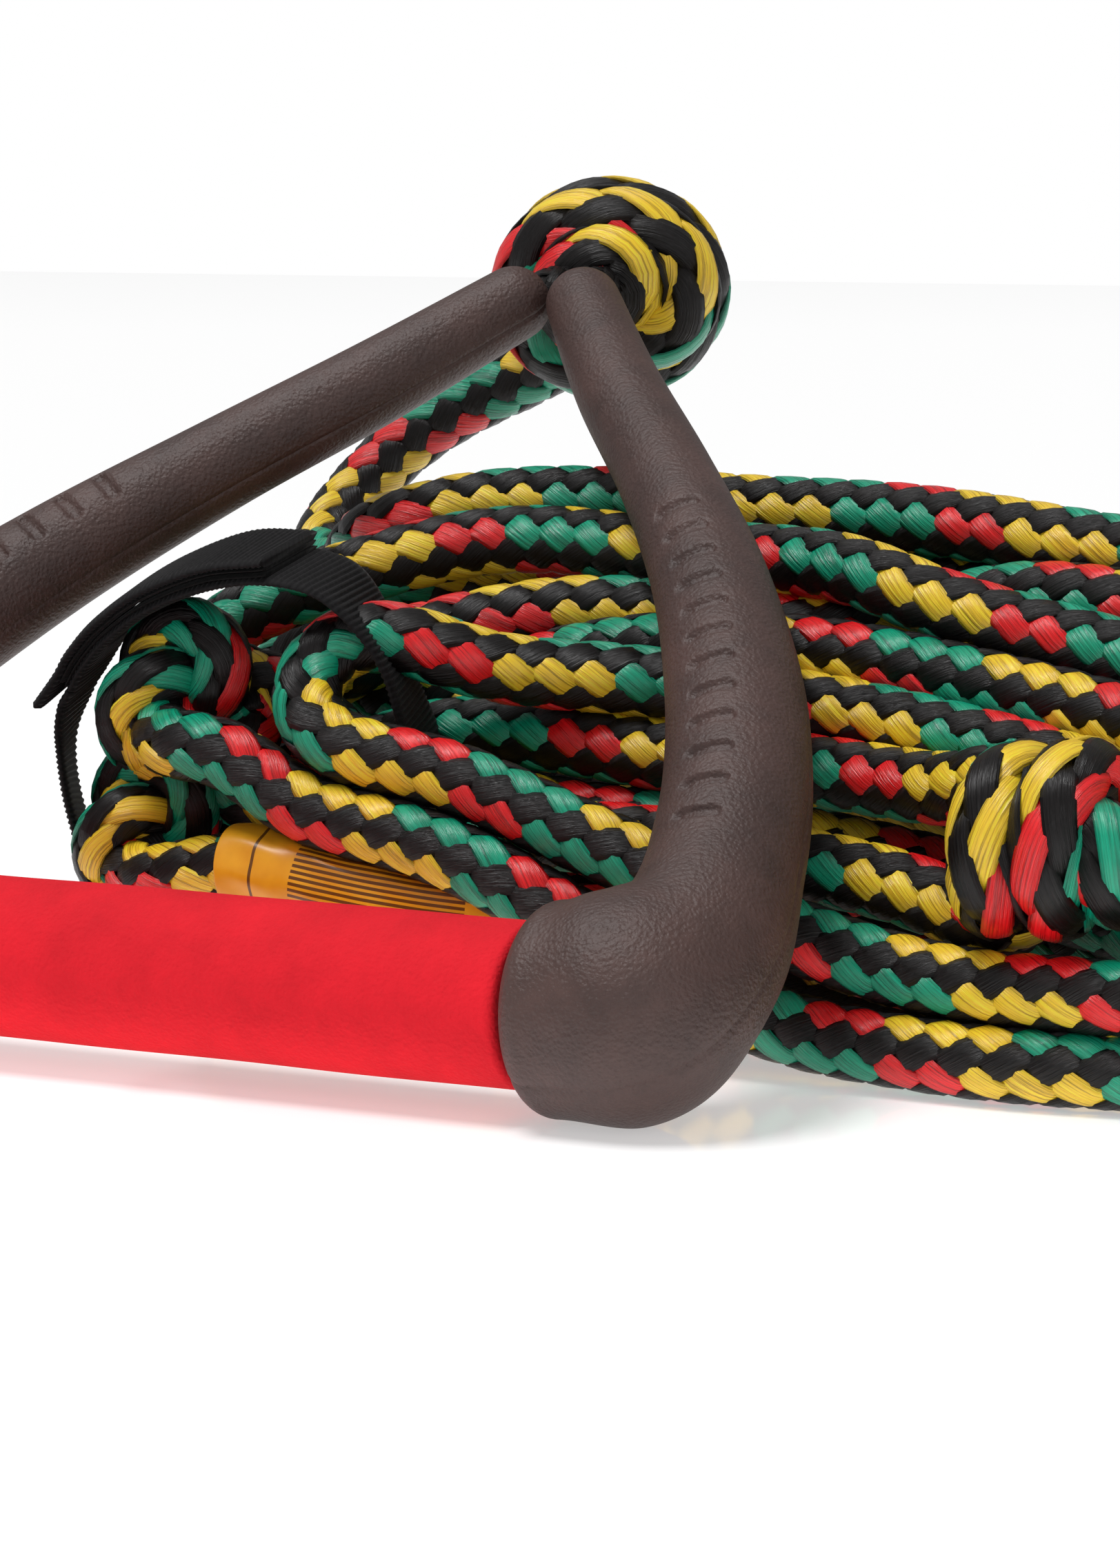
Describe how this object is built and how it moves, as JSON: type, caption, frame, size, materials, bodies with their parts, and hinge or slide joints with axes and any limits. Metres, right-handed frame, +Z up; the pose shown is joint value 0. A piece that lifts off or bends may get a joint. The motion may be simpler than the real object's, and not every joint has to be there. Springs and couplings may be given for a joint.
{
  "type": "tow rope handle",
  "caption": "Foam-gripped tow handle with moulded elbow arms on a bridle, leaning over its hanked braided line with a hook-and-loop strap.",
  "frame": {"origin": "floor under the middle of the handle, which is measured without its line", "axes": "+X along the bar to the right elbow, +Y from the grip back towards the apex knot, +Z up"},
  "size_m": [0.3915, 0.2652, 0.176],
  "materials": {
    "grip_foam": "matte brushed foam",
    "bar_alloy": "satin",
    "cap_nylon": "satin",
    "arm_eva": "fine moulded grain",
    "bridle_cord": "braided",
    "braided_line": "glossy multifilament braid",
    "sleeve_film": "smooth film",
    "strap_webbing": "ribbed webbing",
    "strap_pile": "looped pile",
    "strap_hook": "small hooks",
    "whipping_cord": "waxed twine"
  },
  "bodies": {
    "line": {"apex_knot": "braided_line", "main_line": "braided_line", "hank": "braided_line", "line_knot_upper": "braided_line", "line_knot_lower": "braided_line", "line_knot_right": "braided_line", "label_sleeve": "sleeve_film", "sleeve_core": "braided_line", "strap_band": "strap_webbing", "loop_patch": "strap_pile", "tow_lead": "braided_line", "tow_knot": "braided_line", "tow_knot_band": "whipping_cord", "tow_loop": "braided_line"},
    "handle": {"arm_left_front": "arm_eva", "arm_left_back": "arm_eva", "arm_right_front": "arm_eva", "arm_right_back": "arm_eva", "bridle_rope": "bridle_cord"},
    "bar": {"grip": "grip_foam", "bar_tube": "bar_alloy", "end_cap_left": "cap_nylon", "end_cap_right": "cap_nylon"},
    "strap_end": {"strap_tail": "strap_webbing", "hook_patch": "strap_hook"}
  },
  "joints": [
    {"name": "handle_swing", "type": "hinge", "parent": "line", "child": "handle", "pos_m": [0, 0.1278, 0.151], "axis": [-1, 0, 0], "range_deg": [0, 110]},
    {"name": "grip_roll", "type": "hinge", "parent": "handle", "child": "bar", "pos_m": [0, -0.0807, 0.02123], "axis": [1, 0, 0], "continuous": true},
    {"name": "strap_peel", "type": "hinge", "parent": "line", "child": "strap_end", "pos_m": [-0.002, -0.0117, 0.0983], "axis": [0, 1, 0], "range_deg": [0, 100]}
  ]
}
